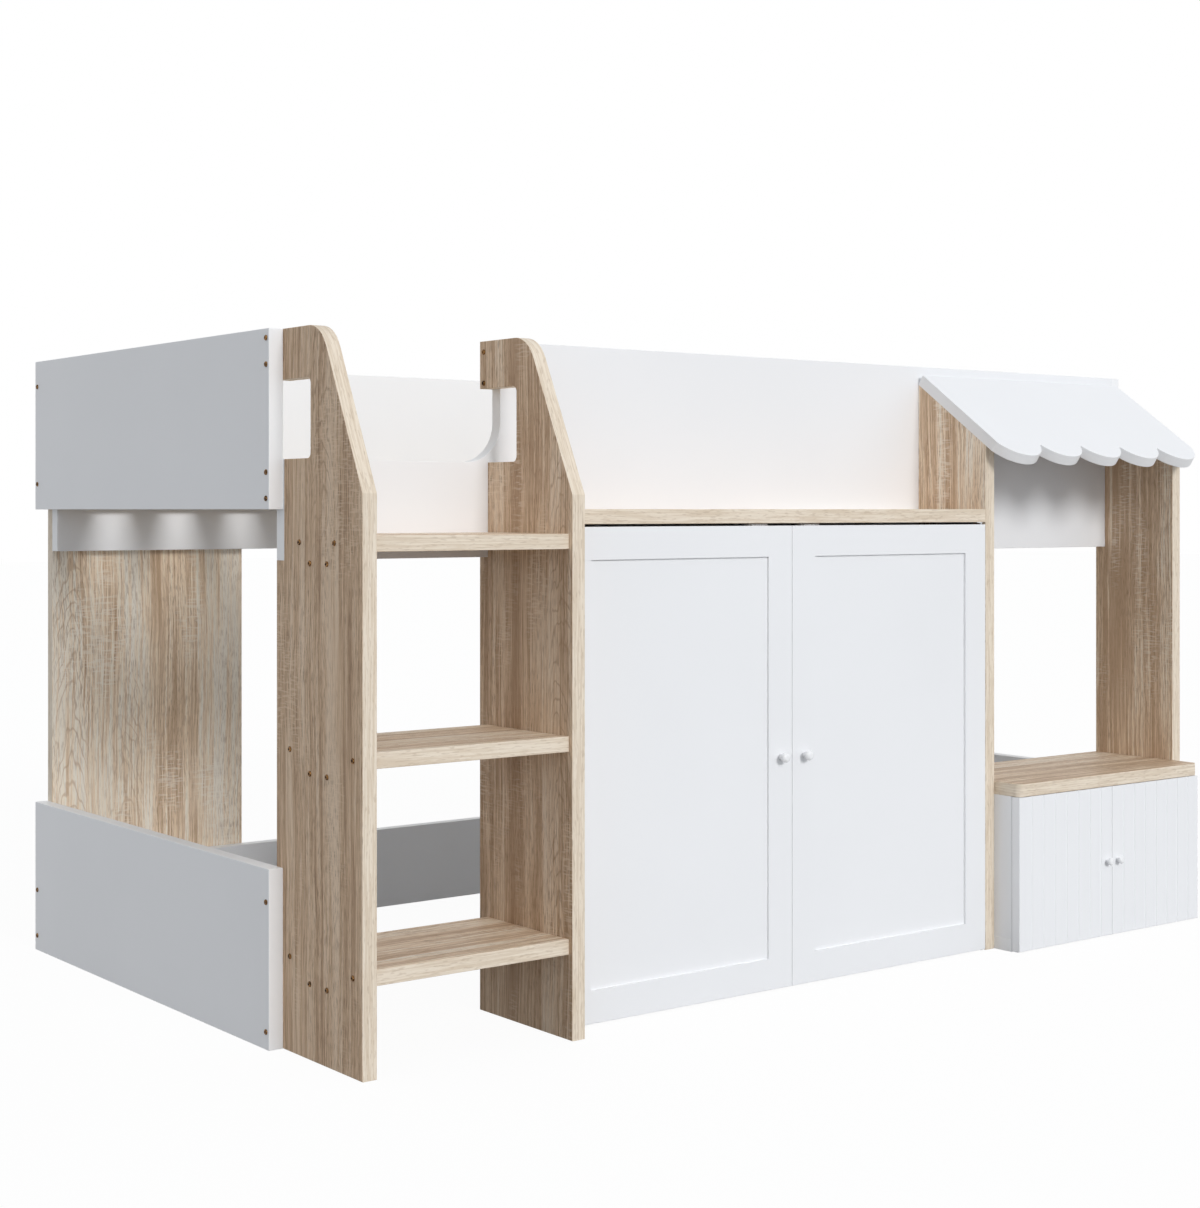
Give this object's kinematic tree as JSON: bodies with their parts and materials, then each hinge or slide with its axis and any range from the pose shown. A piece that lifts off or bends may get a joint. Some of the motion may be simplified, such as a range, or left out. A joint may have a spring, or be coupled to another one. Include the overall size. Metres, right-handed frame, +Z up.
{
  "type": "loft bed",
  "caption": "Low loft bed for a child, of white and oak-look boards, with a ladder, a two-door cupboard and a small shop window with awning and bench.",
  "frame": {"origin": "bottom centre of the bounding box, on the floor", "axes": "+X along the bed to the right end seen from the front, +Y to the back, +Z up"},
  "size_m": [2.059, 1.248, 1.143],
  "materials": {
    "white_board": "satin",
    "oak_board": "matte",
    "slat_pine": "matte",
    "knob_white": "gloss",
    "screw_brass": "satin",
    "fitting_steel": "satin"
  },
  "bodies": {
    "bed_frame": {"angle_brackets": "fitting_steel", "awning": "white_board", "back_leg_left": "oak_board", "back_leg_right": "oak_board", "bench_back": "white_board", "bench_bottom": "white_board", "bench_side_left": "white_board", "bench_side_right": "white_board", "bench_top": "oak_board", "brass_screws": "screw_brass", "cupboard_back": "white_board", "cupboard_floor": "oak_board", "cupboard_shelf": "oak_board", "cupboard_top": "oak_board", "door_pivots": "fitting_steel", "end_panel_lower_left": "white_board", "end_panel_lower_right": "white_board", "end_panel_upper_left": "white_board", "end_panel_upper_right": "white_board", "guard_board_back": "white_board", "guard_board_front": "white_board", "kick_board_back": "white_board", "ladder_side_left": "oak_board", "ladder_side_right": "oak_board", "ladder_step_1": "oak_board", "ladder_step_2": "oak_board", "ladder_step_3": "oak_board", "shop_side_left": "oak_board", "shop_side_right": "oak_board", "slat_01": "slat_pine", "slat_02": "slat_pine", "slat_03": "slat_pine", "slat_04": "slat_pine", "slat_05": "slat_pine", "slat_06": "slat_pine", "slat_07": "slat_pine", "slat_08": "slat_pine", "slat_09": "slat_pine", "slat_10": "slat_pine", "slat_11": "slat_pine", "slat_12": "slat_pine", "slat_13": "slat_pine", "slat_14": "slat_pine", "slat_15": "slat_pine", "slat_rails": "slat_pine", "slat_screws": "fitting_steel"},
    "cupboard_door_left_leaf": {"cupboard_door_left_inner_stile": "white_board", "cupboard_door_left_outer_stile": "white_board", "cupboard_door_left_panel": "white_board", "cupboard_door_left_rails": "white_board", "cupboard_knob_left": "knob_white"},
    "cupboard_door_right_leaf": {"cupboard_door_right_inner_stile": "white_board", "cupboard_door_right_outer_stile": "white_board", "cupboard_door_right_panel": "white_board", "cupboard_door_right_rails": "white_board", "cupboard_knob_right": "knob_white"},
    "bench_door_left_leaf": {"bench_door_left": "white_board", "bench_knob_left": "knob_white"},
    "bench_door_right_leaf": {"bench_door_right": "white_board", "bench_knob_right": "knob_white"}
  },
  "joints": [
    {"name": "cupboard_door_left_hinge", "type": "hinge", "parent": "bed_frame", "child": "cupboard_door_left_leaf", "pos_m": [-0.586, -0.54, 0.4148], "axis": [0, 0, -1], "range_deg": [0, 90]},
    {"name": "cupboard_door_right_hinge", "type": "hinge", "parent": "bed_frame", "child": "cupboard_door_right_leaf", "pos_m": [0.399, -0.54, 0.4148], "axis": [0, 0, 1], "range_deg": [0, 90]},
    {"name": "bench_door_left_hinge", "type": "hinge", "parent": "bed_frame", "child": "bench_door_left_leaf", "pos_m": [0.4375, -0.6, 0.1514], "axis": [0, 0, -1], "range_deg": [0, 90]},
    {"name": "bench_door_right_hinge", "type": "hinge", "parent": "bed_frame", "child": "bench_door_right_leaf", "pos_m": [0.9725, -0.6, 0.1514], "axis": [0, 0, 1], "range_deg": [0, 90]}
  ]
}
